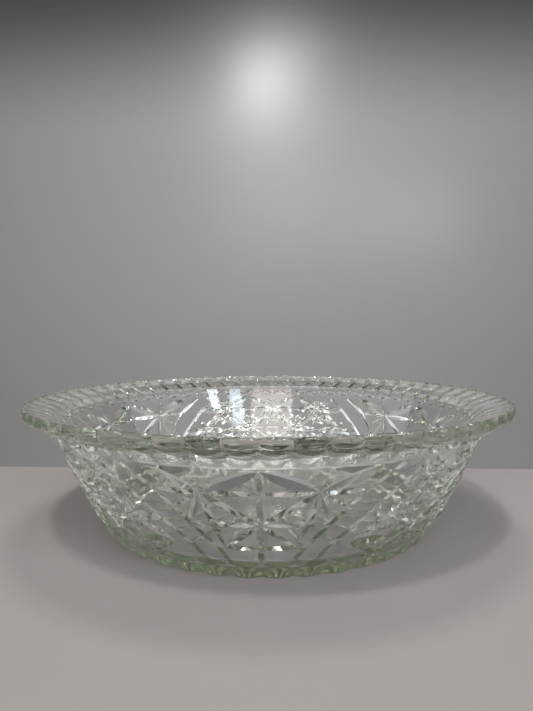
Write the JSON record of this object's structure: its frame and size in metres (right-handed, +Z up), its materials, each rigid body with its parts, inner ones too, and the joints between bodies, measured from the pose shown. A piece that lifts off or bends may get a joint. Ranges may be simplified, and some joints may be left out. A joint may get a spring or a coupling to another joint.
{
  "type": "punch bowl",
  "caption": "Shallow round punch bowl in clear pressed glass, with fans of cut-look stars between smooth slanting bands, a lobed heel and a flared rim of rounded ribs.",
  "frame": {"origin": "centre of the ring that the bowl stands on, in the plane of the table", "axes": "+Z up along the bowl's axis; -Y through the mould seam in the middle of one star fan; +X to the right of someone who looks at that fan"},
  "size_m": [0.3558, 0.3558, 0.093],
  "materials": {
    "pressed_glass": "clear pressed glass with a faint green tint, fire-polished to a gloss"
  },
  "bodies": {
    "root": {"bowl": "pressed_glass"}
  },
  "joints": []
}
